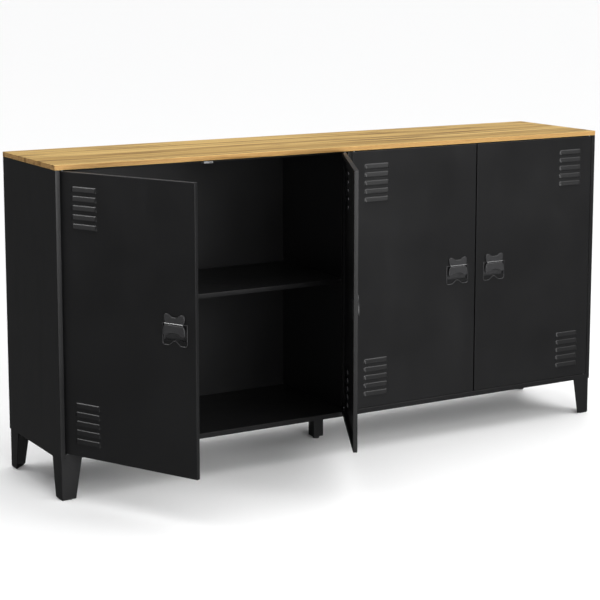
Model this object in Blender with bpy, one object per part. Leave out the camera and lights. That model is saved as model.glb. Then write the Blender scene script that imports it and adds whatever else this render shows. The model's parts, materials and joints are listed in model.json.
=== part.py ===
"""Four-door sheet-steel sideboard on tapered legs, with a thin wood top.

Metres, +Z up. The origin is on the floor, at the middle of the body's footprint, under the centre leg.
-Y is the front and +X is the right-hand end. Doors 1 to 4 run from left to right.
"""

from math import cos, pi, radians, sin

import bmesh
import bpy
from mathutils import Matrix, Vector

# Driving dimensions
WIDTH = 1.600
DEPTH = 0.334
HEIGHT = 0.800
BOARD = 0.012            # thickness of the wood top
LEG = 0.100              # floor to the underside of the body
SHEET = 0.0012           # body panels
THIN = 0.0010            # doors, partition and back panels
GAP = 0.0003             # between pieces that touch

FLANGE = 0.012           # front and back return of an end panel
PARTITION = 0.012        # thickness of the hollow centre partition
RAIL = 0.013             # height of the bottom panel's front and back rails
HEM = 0.008              # downturned stiffening hem of the top panel
HEM_SETBACK = 0.030      # front hem, behind the front plane

DOOR_THICK = 0.0105
DOOR_SIDE_GAP = 0.0015   # beside a flange or the partition
DOOR_PAIR_GAP = 0.004
DOOR_END_GAP = 0.0010    # above and below a door
DOOR_LIP = 0.010         # inward lip round the back of a door pan
PIN_FROM_EDGE = 0.006
PIN_FROM_FACE = 0.0035
PIN_RADIUS = 0.002
PIN_REACH = 0.010        # how far a pin stands into its door
HOLE_CLEARANCE = 0.0003
PIN_HOLE_DEEP = 0.004    # how far the pin holes are cut into a door

DOOR_ANGLE = {1: 63.3, 2: 62.4, 3: 0.0, 4: 0.0}   # degrees open, at rest

LOUVRE_LENGTH = 0.075
LOUVRE_HEIGHT = 0.0135
LOUVRE_PROUD = 0.004
LOUVRE_SHOULDER = 0.006  # length of each sloping end
LOUVRE_TIP = 0.1         # height of a sloping end at its tip, as a share of the louvre's
LOUVRE_DROP = 0.35       # how far its upper edge comes down there, as a share
THROAT_LIP = 0.0003      # air path below a louvre, in front of the sheet
LOUVRE_PITCH = 0.0215
LOUVRES = 5              # in each of a door's two sets
LOUVRE_FROM_HINGE = 0.036
LOUVRE_FROM_TOP = 0.0393     # door's upper end to the middle of the first louvre
LOUVRE_FROM_BOTTOM = 0.0367  # and its lower end to the middle of the last

HANDLE_FROM_EDGE = 0.058  # free edge of the door to the middle of the handle
HANDLE_Z = 0.450
CUP_WIDE = 0.070
CUP_TOP = 0.015           # heights from the handle's middle
CUP_BOTTOM = -0.036
CUP_PEAK = -0.0255
CUP_DEEP = 0.0075
CUP_WALL = 0.0015
CUP_CORNER = 0.006
BEZEL = 0.0016
BEZEL_LAP = 0.003         # bezel beyond the cup's walls, over the door
PULL_WIDE = 0.060
PULL_PROUD = 0.0065
PULL_THICK = 0.003
PLATE_PROUD = 0.0042      # upper half of the pull, which lies on the door
NECK_WIDE = 0.050         # bridge that joins the two halves of the pull
NECK_SETBACK = 0.0005
NECK_ABOVE = 0.0015       # beyond the top of the cup, either way
NECK_BELOW = 0.0055

SHELF_TOP = 0.4575
SHELF_HEM = 0.011
SHELF_SETBACK = 0.022
CLIP = 0.012
CLIP_LONG = 0.016
CLIP_SETBACK = 0.050      # from the shelf's front and back edges to a clip's middle

LEG_SHEET = 0.0015
LEG_INSET = 0.0018        # leg faces, inside the body's faces
LEG_TOP_WIDE = 0.053
LEG_FOOT_WIDE = 0.0365
LEG_SCREW_NEAR = 0.014    # from the leg's two faces to the middle of a screw
LEG_SCREW_FAR = 0.040
PAD = 0.0012
PAD_INSET = 0.0025        # inside the leg's faces
PAD_SHORT = 0.010         # short of the foot's points
TUBE = 0.030
TUBE_WALL = 0.0015
TUBE_FOOT = 0.0075        # floor to the end of the centre tube
PLATE = 0.060             # welded on the centre tube
TUBE_SCREWS = [(-0.023, 0), (0.023, 0)]
GLIDE_RADIUS = 0.009
GLIDE_DISC = 0.005
GLIDE_EASE = 0.0008       # softened lower edge
GLIDE_SLOPE = 0.002
STEM_RADIUS = 0.004
STEM_TOP = 0.030
PLUG_DEEP = 0.008

SCREW_RADIUS = 0.0025
SCREW_HEAD = 0.005
SCREW_HEAD_DEEP = 0.003
SCREW_CROWN = 0.003       # radius of the flat middle of the head
SCREW_DOME = 0.002

CATCH_WIDE = 0.025
CATCH_DEEP = 0.016
CATCH_TALL = 0.0065
CATCH_SETBACK = 0.0005    # behind the doors
CATCH_EASE = 0.0008

# Planes worked out from the driving dimensions
LEFT, RIGHT = -WIDTH / 2, WIDTH / 2
FRONT, BACK = -DEPTH / 2, DEPTH / 2
BOARD_UNDER = HEIGHT - BOARD
PANEL_TOP = BOARD_UNDER - GAP
PANEL_UNDER = PANEL_TOP - SHEET
FLOOR_TOP = LEG + RAIL
FLOOR_UNDER = FLOOR_TOP - SHEET
DOOR_TOP = PANEL_UNDER - DOOR_END_GAP
DOOR_BOTTOM = FLOOR_TOP + DOOR_END_GAP
BAY_INNER = PARTITION / 2
BAY_OUTER = RIGHT - FLANGE
DOOR_WIDE = (BAY_OUTER - BAY_INNER - 2 * DOOR_SIDE_GAP - DOOR_PAIR_GAP) / 2
WEB_INSIDE = RIGHT - SHEET - GAP
BACK_SHEET = BACK - SHEET - GAP - THIN


def material(name, colour, roughness, metallic=0.0):
    made = bpy.data.materials.new(name)
    made.use_nodes = True
    shader = made.node_tree.nodes["Principled BSDF"]
    shader.inputs["Base Color"].default_value = (*colour, 1.0)
    shader.inputs["Roughness"].default_value = roughness
    shader.inputs["Metallic"].default_value = metallic
    made.diffuse_color = (*colour, 1.0)
    return made


def node(name, mesh, finish, location=(0, 0, 0), parent=None):
    """A named sub-part that shows this mesh."""
    piece = bpy.data.objects.new(name, mesh)
    bpy.context.scene.collection.objects.link(piece)
    piece.location = location
    piece.parent = parent
    if not mesh.materials:
        mesh.materials.append(finish)
    return piece


def closed(bm, smooth=False):
    """The bmesh as a mesh with its faces pointing out."""
    bmesh.ops.recalc_face_normals(bm, faces=bm.faces)
    mesh = bpy.data.meshes.new("shape")
    bm.to_mesh(mesh)
    bm.free()
    if smooth:
        mesh.shade_smooth()
        mesh.set_sharp_from_angle(angle=radians(40))
    return mesh


def block(x, y, z):
    """A box between two values on each axis."""
    bm = bmesh.new()
    size = Matrix.Diagonal((x[1] - x[0], y[1] - y[0], z[1] - z[0], 1))
    middle = Matrix.Translation(((x[0] + x[1]) / 2, (y[0] + y[1]) / 2, (z[0] + z[1]) / 2))
    bmesh.ops.create_cube(bm, size=1, matrix=middle @ size)
    return closed(bm)


def prism(outline, axis, start, end):
    """A flat outline pushed along X, Y or Z. Its points give the other two axes, in that order."""
    def place(point, along):
        values = list(point)
        values.insert("XYZ".index(axis), along)
        return values

    bm = bmesh.new()
    face = bm.faces.new([bm.verts.new(place(point, start)) for point in outline])
    pushed = bmesh.ops.extrude_face_region(bm, geom=[face])
    moved = [item for item in pushed["geom"] if isinstance(item, bmesh.types.BMVert)]
    bmesh.ops.translate(bm, verts=moved, vec=Vector(place((0, 0), end - start)))
    return closed(bm)


def rod(radius, bottom, top, at=(0, 0), sides=16):
    bm = bmesh.new()
    middle = Matrix.Translation((at[0], at[1], (bottom + top) / 2))
    bmesh.ops.create_cone(
        bm, cap_ends=True, segments=sides, radius1=radius, radius2=radius, depth=top - bottom, matrix=middle
    )
    return closed(bm, smooth=True)


def turned(profile, sides=24):
    """A profile of (radius, height) points, from axis to axis, spun round Z."""
    bm = bmesh.new()
    points = [bm.verts.new((radius, 0, height)) for radius, height in profile]
    edges = [bm.edges.new(pair) for pair in zip(points, points[1:])]
    bmesh.ops.spin(
        bm, geom=points + edges, cent=(0, 0, 0), axis=(0, 0, 1), angle=2 * pi, steps=sides, use_merge=True
    )
    bmesh.ops.remove_doubles(bm, verts=bm.verts, dist=1e-6)
    return closed(bm, smooth=True)


def shaped(start, steps):
    """The start mesh after each (operation, mesh) Boolean in turn."""
    helpers = [bpy.data.objects.new("helper", mesh) for mesh in [start] + [mesh for _, mesh in steps]]
    for helper in helpers:
        bpy.context.scene.collection.objects.link(helper)
    for (operation, _), helper in zip(steps, helpers[1:]):
        step = helpers[0].modifiers.new(operation.lower(), "BOOLEAN")
        step.operation = operation
        step.solver = "EXACT"
        step.object = helper
    bpy.context.view_layer.update()
    graph = bpy.context.evaluated_depsgraph_get()
    mesh = bpy.data.meshes.new_from_object(helpers[0].evaluated_get(graph))
    for helper in helpers:
        bpy.data.objects.remove(helper)
    return mesh


def fused(*meshes):
    return shaped(meshes[0], [("UNION", mesh) for mesh in meshes[1:]])


def cut(start, *cutters):
    return shaped(start, [("DIFFERENCE", mesh) for mesh in cutters])


def mirrored(points):
    """A half outline with +X points, completed by its mirror image."""
    return list(points) + [(-x, z) for x, z in reversed(points)]


def pin_places():
    """Hinge axis and swing direction of each door: +1 opens anticlockwise seen from above."""
    inner = BAY_INNER + DOOR_SIDE_GAP + PIN_FROM_EDGE
    outer = BAY_OUTER - DOOR_SIDE_GAP - PIN_FROM_EDGE
    return {1: (-outer, -1), 2: (-inner, 1), 3: (inner, -1), 4: (outer, 1)}


def hole_at(places, radius, z):
    return [rod(radius + HOLE_CLEARANCE, z[0], z[1], at=place, sides=12) for place in places]


def corner_places():
    """Outer corner of each leg, with the directions that point into the body."""
    for name, x, into_x in (("left", LEFT + LEG_INSET, 1), ("right", RIGHT - LEG_INSET, -1)):
        for end, y, into_y in (("front", FRONT + LEG_INSET, 1), ("rear", BACK - LEG_INSET, -1)):
            yield f"{end}_{name}", x, y, into_x, into_y


def leg_screw_places(x, y, into_x, into_y):
    near, far = LEG_SCREW_NEAR, LEG_SCREW_FAR
    return [(x + into_x * far, y + into_y * near), (x + into_x * near, y + into_y * far)]


def build_top(wood, black):
    node("top_board", block((LEFT, RIGHT), (FRONT, BACK), (BOARD_UNDER, HEIGHT)), wood)

    back_hem = BACK_SHEET - GAP
    hem_front = FRONT + HEM_SETBACK
    edge = FRONT + SHEET + GAP
    low = PANEL_TOP - HEM
    profile = [
        (edge, PANEL_UNDER), (edge, PANEL_TOP), (back_hem, PANEL_TOP), (back_hem, low),
        (back_hem - SHEET, low), (back_hem - SHEET, PANEL_UNDER), (hem_front + SHEET, PANEL_UNDER),
        (hem_front + SHEET, low), (hem_front, low), (hem_front, PANEL_UNDER),
    ]
    sheet = prism(profile, "X", -WEB_INSIDE, WEB_INSIDE)
    half_notch = BAY_INNER + GAP
    notch = block((-half_notch, half_notch), (FRONT, BACK), (low - HEM, PANEL_UNDER))
    pin_holes = hole_at(
        [(x, FRONT + PIN_FROM_FACE) for x, _ in pin_places().values()], PIN_RADIUS, (low, HEIGHT)
    )
    node("top_panel", cut(sheet, notch, *pin_holes), black)


def build_bottom(black):
    inside = BAY_OUTER - GAP
    profile = [
        (FRONT, LEG), (FRONT, FLOOR_TOP), (BACK, FLOOR_TOP), (BACK, LEG), (BACK - SHEET, LEG),
        (BACK - SHEET, FLOOR_UNDER), (FRONT + SHEET, FLOOR_UNDER), (FRONT + SHEET, LEG),
    ]
    tray = prism(profile, "X", -inside, inside)
    clear = SHEET + GAP
    ears = block((-WEB_INSIDE, WEB_INSIDE), (FRONT + clear, BACK - clear), (FLOOR_UNDER, FLOOR_TOP))
    corner_screws = [place for _, *corner in corner_places() for place in leg_screw_places(*corner)]
    pins = [(x, FRONT + PIN_FROM_FACE) for x, _ in pin_places().values()]
    through = (LEG, FLOOR_TOP + RAIL)
    holes = hole_at(corner_screws + TUBE_SCREWS, SCREW_RADIUS, through) + hole_at(pins, PIN_RADIUS, through)
    node("bottom_panel", cut(fused(tray, ears), *holes), black)


def build_ends(black):
    """Folded end panels: an outer web with a return along its front and back edges."""
    for name, side in (("left", -1), ("right", 1)):
        outer, web, lip = side * RIGHT, side * (RIGHT - SHEET), side * BAY_OUTER
        profile = [
            (outer, FRONT), (outer, BACK), (lip, BACK), (lip, BACK - SHEET), (web, BACK - SHEET),
            (web, FRONT + SHEET), (lip, FRONT + SHEET), (lip, FRONT),
        ]
        node(f"side_panel_{name}", prism(profile, "Z", LEG, PANEL_TOP), black)


def build_inside(black, clip_metal):
    half = PARTITION / 2
    rear = BACK_SHEET - GAP
    low, high = FLOOR_TOP + GAP, PANEL_UNDER - GAP
    skin = block((-half, half), (FRONT, rear), (low, high))
    hollow = block((THIN - half, half - THIN), (FRONT + THIN, rear - THIN), (LEG, HEIGHT))
    node("centre_partition", cut(skin, hollow), black)

    shelf_back = rear - GAP
    shelf_low = SHELF_TOP - SHELF_HEM
    shelf_front = FRONT + SHELF_SETBACK
    under = SHELF_TOP - SHEET
    shelf_profile = [
        (shelf_front, shelf_low), (shelf_front, SHELF_TOP), (shelf_back, SHELF_TOP), (shelf_back, shelf_low),
        (shelf_back - SHEET, shelf_low), (shelf_back - SHEET, under), (shelf_front + SHEET, under),
        (shelf_front + SHEET, shelf_low),
    ]
    wall_in = half + GAP
    clip_top = under - GAP
    for name, side in (("left", -1), ("right", 1)):
        ends = sorted((side * wall_in, side * WEB_INSIDE))
        back = block(
            sorted((side * GAP, side * WEB_INSIDE)), (BACK_SHEET, BACK_SHEET + THIN), (FLOOR_TOP + GAP, high)
        )
        node(f"back_panel_{name}", back, black)
        node(f"shelf_{name}", prism(shelf_profile, "X", *ends), black)
        for place, wall, inward in (("outer", side * WEB_INSIDE, -side), ("inner", side * wall_in, side)):
            bracket = [
                (wall, clip_top - CLIP), (wall, clip_top), (wall + inward * CLIP, clip_top),
                (wall + inward * CLIP, clip_top - SHEET), (wall + inward * SHEET, clip_top - SHEET),
                (wall + inward * SHEET, clip_top - CLIP),
            ]
            for end, middle in (("front", shelf_front + CLIP_SETBACK), ("rear", shelf_back - CLIP_SETBACK)):
                solid = prism(bracket, "Y", middle - CLIP_LONG / 2, middle + CLIP_LONG / 2)
                node(f"shelf_clip_{name}_{place}_{end}", solid, clip_metal)


def corner_leg(x, y, into_x, into_y):
    """Two tapered flanges folded round the corner, a top plate and a triangular foot plate."""
    top, low = FLOOR_UNDER - GAP, PAD + GAP
    taper = [(0, low), (0, top), (LEG_TOP_WIDE, top), (LEG_TOP_WIDE, LEG), (LEG_FOOT_WIDE, low)]
    thick_x, thick_y = sorted((x, x + into_x * LEG_SHEET)), sorted((y, y + into_y * LEG_SHEET))
    along_x = prism([(x + into_x * reach, z) for reach, z in taper], "Y", *thick_y)
    along_y = prism([(y + into_y * reach, z) for reach, z in taper], "X", *thick_x)

    def plate(reach, bottom, thick, corners):
        outline = [(x + into_x * reach * u, y + into_y * reach * v) for u, v in corners]
        return prism(outline, "Z", bottom, bottom + thick)

    square = [(0, 0), (1, 0), (1, 1), (0, 1)]
    triangle = square[:2] + square[3:]
    head = plate(LEG_TOP_WIDE, top - LEG_SHEET, LEG_SHEET, square)
    foot = plate(LEG_FOOT_WIDE - LEG_SHEET, low, LEG_SHEET, triangle)
    holes = hole_at(leg_screw_places(x, y, into_x, into_y), SCREW_RADIUS, (LEG, FLOOR_TOP))
    return cut(fused(along_x, along_y, head, foot), *holes)


def screw(under):
    """A low round head below `under`, and a shank that ends inside the bottom panel."""
    bottom, tip = under - SCREW_HEAD_DEEP, FLOOR_TOP - GAP
    return turned(
        [
            (0, bottom), (SCREW_CROWN, bottom), (SCREW_HEAD, bottom + SCREW_DOME), (SCREW_HEAD, under),
            (SCREW_RADIUS, under), (SCREW_RADIUS, tip), (0, tip),
        ],
        sides=12,
    )


def build_legs(black, rubber, zinc):
    bolt = screw(FLOOR_UNDER - LEG_SHEET - 2 * GAP)
    for name, x, y, into_x, into_y in corner_places():
        node(f"leg_{name}", corner_leg(x, y, into_x, into_y), black)
        reach, inset = LEG_FOOT_WIDE - PAD_SHORT, PAD_INSET
        outline = [(inset, inset), (reach, inset), (inset, reach)]
        pad = prism([(x + into_x * u, y + into_y * v) for u, v in outline], "Z", 0, PAD)
        node(f"foot_pad_{name}", pad, rubber)
        for number, place in enumerate(leg_screw_places(x, y, into_x, into_y), 1):
            node(f"leg_screw_{name}_{number}", bolt, zinc, location=(*place, 0))

    half, inner, plate = TUBE / 2, TUBE / 2 - TUBE_WALL, PLATE / 2
    plate_top = FLOOR_UNDER - GAP
    tube = block((-half, half), (-half, half), (TUBE_FOOT, plate_top))
    flange = block((-plate, plate), (-half, half), (plate_top - LEG_SHEET, plate_top))
    bore = block((-inner, inner), (-inner, inner), (0, HEIGHT))
    holes = hole_at(TUBE_SCREWS, SCREW_RADIUS, (LEG, FLOOR_TOP))
    node("centre_leg", cut(fused(tube, flange), bore, *holes), black)
    for name, place in zip(("left", "right"), TUBE_SCREWS):
        node(f"centre_leg_screw_{name}", bolt, zinc, location=(*place, 0))

    fit = inner - GAP
    plug = block((-fit, fit), (-fit, fit), (TUBE_FOOT + GAP, TUBE_FOOT + GAP + PLUG_DEEP))
    threaded = rod(STEM_RADIUS + HOLE_CLEARANCE, 0, HEIGHT, sides=24)
    node("centre_leg_plug", cut(plug, threaded), rubber)
    glide = turned(
        [
            (0, 0), (GLIDE_RADIUS - GLIDE_EASE, 0), (GLIDE_RADIUS, GLIDE_EASE),
            (GLIDE_RADIUS, GLIDE_DISC - GLIDE_SLOPE / 2), (GLIDE_RADIUS - GLIDE_SLOPE, GLIDE_DISC),
            (STEM_RADIUS, GLIDE_DISC), (STEM_RADIUS, STEM_TOP), (0, STEM_TOP),
        ]
    )
    node("centre_glide", glide, rubber)


def louvre_hood(x, z):
    """One pressed louvre on the door's outer face at y = 0, flush at its top and ends and open below."""
    half, tall, proud = LOUVRE_LENGTH / 2, LOUVRE_HEIGHT / 2, LOUVRE_PROUD
    root = THIN / 2
    full = [
        (root, tall), (0, tall), (-0.6 * proud, 0.7 * tall), (-0.92 * proud, 0), (-proud, -tall),
        (root, -tall),
    ]
    bm = bmesh.new()
    rings = []
    shoulder = half - LOUVRE_SHOULDER
    tip = (LOUVRE_TIP, LOUVRE_DROP)
    for along, swell, drop in ((-half, *tip), (-shoulder, 1, 0), (shoulder, 1, 0), (half, *tip)):
        ring = []
        for y, height in full:
            lowered = height - drop * (height + tall)
            ring.append(bm.verts.new((x + along, y if y > 0 else y * swell, z + lowered)))
        rings.append(ring)
    count = len(full)
    for first, second in zip(rings, rings[1:]):
        for i in range(count):
            j = (i + 1) % count
            bm.faces.new((first[i], first[j], second[j], second[i]))
    bm.faces.new(rings[0])
    bm.faces.new(list(reversed(rings[-1])))
    return bm


def louvre_throat(x, z):
    """The air path inside a louvre: up behind its hood, through the sheet and out below."""
    half, tall, proud = LOUVRE_LENGTH / 2 - LOUVRE_SHOULDER - THIN, LOUVRE_HEIGHT / 2, LOUVRE_PROUD
    inside, lip = 3 * THIN, -THROAT_LIP
    outline = [
        (inside, 0.6 * tall), (-0.4 * proud, 0.4 * tall), (-0.7 * proud, -0.2 * tall),
        (-0.76 * proud, -1.3 * tall), (lip, -1.3 * tall), (lip, -0.8 * tall), (inside, -0.8 * tall),
    ]
    return prism([(y, z + height) for y, height in outline], "X", x - half, x + half)


def together(shapes):
    """Separate closed shapes held in one mesh, for one Boolean."""
    bm = bmesh.new()
    for shape in shapes:
        if isinstance(shape, bmesh.types.BMesh):
            mesh = closed(shape)
        else:
            mesh = shape
        bm.from_mesh(mesh)
    return closed(bm)


def cup_outline(wide, top, bottom, peak):
    """Straight sides, round lower corners and a peak in the middle of the lower edge. Points are (x, z)."""
    half, radius = wide / 2, CUP_CORNER
    corner = [
        (half - radius + radius * cos(angle), bottom + radius - radius * sin(angle))
        for angle in (0, pi / 6, pi / 3, pi / 2)
    ]
    shoulder = [(0.016, bottom), (0.003, peak)]
    return mirrored([(half, top)] + corner + shoulder)


def pull_outline():
    """Hourglass plate: two ears above and two below, with a scoop between each pair. Points are (x, z)."""
    half = PULL_WIDE / 2
    upper = [
        (0, 0.0285), (0.010, 0.0295), (0.017, 0.033), (0.0215, 0.0362), (0.0265, 0.0362), (0.0290, 0.032),
    ]
    waist = [(0.0290, 0.022), (0.0255, CUP_TOP)]
    lower = [
        (half, 0.006), (half, -0.008), (0.0265, -0.0127), (0.0215, -0.0127), (0.013, -0.008), (0, -0.0055),
    ]
    right = upper + waist + lower
    return right + [(-x, z) for x, z in reversed(right[1:-1])]


def handle_mesh():
    """One moulding: a recessed cup with a bezel, and an hourglass pull that stands over its upper part."""
    front = -GAP
    bezel = prism(cup_outline(CUP_WIDE, CUP_TOP, CUP_BOTTOM, CUP_PEAK), "Y", front - BEZEL, front)
    body_half, body_top, body_low = CUP_WIDE / 2 - BEZEL_LAP, CUP_TOP - BEZEL_LAP, CUP_PEAK + BEZEL_LAP
    shell = block((-body_half, body_half), (front - BEZEL / 2, CUP_DEEP), (body_low, body_top))
    wall = CUP_WALL
    hollow = block(
        (wall - body_half, body_half - wall), (-BEZEL * 3, CUP_DEEP - wall),
        (body_low + wall, body_top - wall),
    )
    cup = cut(fused(bezel, shell), hollow)
    outline = pull_outline()
    upper = prism([(x, z) for x, z in outline if z >= CUP_TOP], "Y", -PLATE_PROUD, front)
    lower = prism([(x, z) for x, z in outline if z <= CUP_TOP], "Y", -PULL_PROUD, PULL_THICK - PULL_PROUD)
    bridge = block(
        (-NECK_WIDE / 2, NECK_WIDE / 2), (NECK_SETBACK - PULL_PROUD, front - NECK_SETBACK / 5),
        (CUP_TOP - NECK_BELOW, CUP_TOP + NECK_ABOVE),
    )
    return fused(cup, upper, lower, bridge)


def door_mesh(direction):
    """A pan in the hinge's frame: the pin is at x = y = 0. direction is +1 where the door runs to +X."""
    face, back = -PIN_FROM_FACE, DOOR_THICK - PIN_FROM_FACE
    hinge_edge, free_edge = -PIN_FROM_EDGE, DOOR_WIDE - PIN_FROM_EDGE

    def across(first, second):
        return sorted((direction * first, direction * second))

    pan = block(across(hinge_edge, free_edge), (face, back), (DOOR_BOTTOM, DOOR_TOP))
    middle = direction * (hinge_edge + LOUVRE_FROM_HINGE + LOUVRE_LENGTH / 2)
    steps = [number * LOUVRE_PITCH for number in range(LOUVRES)]
    heights = [DOOR_TOP - LOUVRE_FROM_TOP - step for step in steps]
    heights += [DOOR_BOTTOM + LOUVRE_FROM_BOTTOM + step for step in steps]
    hoods = together([louvre_hood(middle, height) for height in heights])
    throats = together([louvre_throat(middle, height) for height in heights])
    for mesh in (hoods, throats):
        mesh.transform(Matrix.Translation((0, face, 0)))

    hollow = block(
        across(hinge_edge + THIN, free_edge - THIN), (face + THIN, back - THIN),
        (DOOR_BOTTOM + THIN, DOOR_TOP - THIN),
    )
    window = block(
        across(hinge_edge + DOOR_LIP, free_edge - DOOR_LIP), (back - 2 * THIN, back + THIN),
        (DOOR_BOTTOM + DOOR_LIP, DOOR_TOP - DOOR_LIP),
    )
    centre = direction * (free_edge - HANDLE_FROM_EDGE)
    inset = BEZEL_LAP - GAP
    half = CUP_WIDE / 2 - inset
    cutout = block(
        (centre - half, centre + half), (face - THIN, face + 2 * THIN),
        (HANDLE_Z + CUP_PEAK + inset, HANDLE_Z + CUP_TOP - inset),
    )
    clear = PIN_RADIUS + HOLE_CLEARANCE
    pin_holes = [
        rod(clear, DOOR_TOP - PIN_HOLE_DEEP, HEIGHT, sides=16),
        rod(clear, LEG, DOOR_BOTTOM + PIN_HOLE_DEEP, sides=16),
    ]
    return cut(fused(pan, hoods), hollow, window, throats, cutout, *pin_holes)


def build_doors(black, plastic, zinc):
    pans = {-1: door_mesh(1), 1: door_mesh(-1)}
    moulding = handle_mesh()
    lower_pin = rod(PIN_RADIUS, FLOOR_UNDER, DOOR_BOTTOM + PIN_REACH)
    upper_pin = rod(PIN_RADIUS, DOOR_TOP - PIN_REACH, PANEL_TOP)
    for number, (x, swing) in pin_places().items():
        axis = (x, FRONT + PIN_FROM_FACE, 0)
        door = node(f"door_{number}", pans[swing], black, location=axis)
        door.rotation_euler.z = swing * radians(DOOR_ANGLE[number])
        along = -swing * (DOOR_WIDE - PIN_FROM_EDGE - HANDLE_FROM_EDGE)
        at = (along, -PIN_FROM_FACE, HANDLE_Z)
        node(f"handle_{number}", moulding, plastic, location=at, parent=door)
        node(f"hinge_pin_{number}_lower", lower_pin, zinc, location=axis)
        node(f"hinge_pin_{number}_upper", upper_pin, zinc, location=axis)


def build_catches(catch_plastic):
    """A magnetic catch under the top panel, at the middle of each bay, in front of the hem."""
    front = FRONT + DOOR_THICK + CATCH_SETBACK
    top = PANEL_UNDER - GAP
    bay_middle = (BAY_INNER + BAY_OUTER) / 2
    for name, x in (("left", -bay_middle), ("right", bay_middle)):
        half = CATCH_WIDE / 2
        body = block((x - half, x + half), (front, front + CATCH_DEEP), (top - CATCH_TALL, top))
        bm = bmesh.new()
        bm.from_mesh(body)
        bmesh.ops.bevel(
            bm, geom=bm.edges, offset=CATCH_EASE, segments=1, profile=0.5, affect="EDGES", material=-1
        )
        node(f"magnetic_catch_{name}", closed(bm), catch_plastic)


for old in list(bpy.data.objects):
    bpy.data.objects.remove(old)

wood = material("wood", (0.55, 0.36, 0.18), 0.5)
black_steel = material("black_steel", (0.020, 0.020, 0.021), 0.45)
black_plastic = material("black_plastic", (0.035, 0.035, 0.037), 0.4)
black_rubber = material("black_rubber", (0.02, 0.02, 0.02), 0.7)
zinc_steel = material("zinc_steel", (0.60, 0.61, 0.62), 0.35, 1.0)
grey_plastic = material("grey_plastic", (0.45, 0.45, 0.45), 0.5)

build_top(wood, black_steel)
build_bottom(black_steel)
build_ends(black_steel)
build_inside(black_steel, zinc_steel)
build_legs(black_steel, black_rubber, zinc_steel)
build_doors(black_steel, black_plastic, zinc_steel)
build_catches(grey_plastic)
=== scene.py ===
"""The looks of a four-door sheet-steel sideboard with a wood top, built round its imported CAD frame.

Metres, +Z up. -Y is the front and +X is the right-hand end. Doors 1 to 4 run from left to right.
"""

import json
from math import atan2, cos, hypot, pi, radians, sin, sqrt

import bmesh
import bpy
from mathutils import Matrix, Vector


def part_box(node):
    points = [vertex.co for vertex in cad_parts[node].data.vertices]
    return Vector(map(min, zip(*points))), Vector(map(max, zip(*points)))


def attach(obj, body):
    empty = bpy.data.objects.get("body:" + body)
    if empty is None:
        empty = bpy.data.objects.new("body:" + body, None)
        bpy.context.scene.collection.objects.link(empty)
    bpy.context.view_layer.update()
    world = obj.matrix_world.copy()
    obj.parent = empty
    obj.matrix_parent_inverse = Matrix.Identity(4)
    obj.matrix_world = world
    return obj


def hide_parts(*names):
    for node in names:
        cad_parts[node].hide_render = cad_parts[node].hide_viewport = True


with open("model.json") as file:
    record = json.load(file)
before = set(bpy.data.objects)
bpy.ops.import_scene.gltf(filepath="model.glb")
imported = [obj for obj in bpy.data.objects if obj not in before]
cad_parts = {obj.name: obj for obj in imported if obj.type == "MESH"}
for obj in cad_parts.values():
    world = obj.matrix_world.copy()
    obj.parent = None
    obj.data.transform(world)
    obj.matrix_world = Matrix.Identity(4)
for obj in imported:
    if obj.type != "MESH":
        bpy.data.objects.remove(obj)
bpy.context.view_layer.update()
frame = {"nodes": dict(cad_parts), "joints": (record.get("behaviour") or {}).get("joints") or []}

# The room: a plain pale floor under a white backdrop, lit by one very wide soft lamp overhead and by
# weaker ones in front. The floor is dimmed where it would shine back in the paint, and four cards
# show only as sheen on the folds, the louvres and the wood.
FLOOR_HALF = 400
FLOOR_ROUGHNESS = 0.6
FLOOR_COLOUR = (0.94, 0.94, 0.94)
FLOOR_IN_REFLECTIONS = (0.04, 0.04, 0.04)
BACKDROP_COLOUR = (1.0, 1.0, 1.0)
ROOM_DARK_SIDE = (0.08, 0.08, 0.085)
ROOM_LIGHT_SIDE = (0.56, 0.56, 0.56)
ROOM_DARK_SHARE = 0.42
ROOM_LIGHT_FROM = (0.70, -0.55, 0.45)
OVERHEAD_STRENGTH = 2.60
OVERHEAD_SPREAD = 90
OVERHEAD_TILT = (-12, 5)
CAMERA_PLACE = (-2.2739, -3.7917, 1.2615)
CAMERA_TURN = 30.402
CAMERA_DIP = 8.299
CAMERA_LENS = 101.976
CAMERA_SHIFT = -0.15
CAMERA_SEES_TO = 100
LAMPS = {
    "right_front": ((2.4, -3.4, 2.7), (0.3, 0.0, 0.5), (1.7, 1.7), 54.0),
    "front_fill": ((-0.9, -5.2, 1.3), (-0.3, 0.0, 0.4), (2.6, 2.6), 150.0),
    "bay_fill": ((-0.30, -2.3, 0.75), (-0.40, 0.0, 0.35), (0.9, 0.9), 18.0),
}
SHEEN_CARDS = {
    "left_card": ((-3.7, 0.3, 1.95), (-0.7, -0.3, 0.5), (2.6, 1.9), 22.0),
    "left_high_card": ((-2.7, 0.7, 2.75), (-0.7, -0.4, 0.6), (1.6, 1.1), 75.0),
    "right_high_card": ((1.75, -1.5, 2.85), (0.1, -0.2, 0.6), (1.6, 1.1), 36.0),
    "front_high_card": ((-1.1, -3.3, 3.0), (-0.6, -0.3, 0.6), (1.3, 0.9), 45.0),
}

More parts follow.
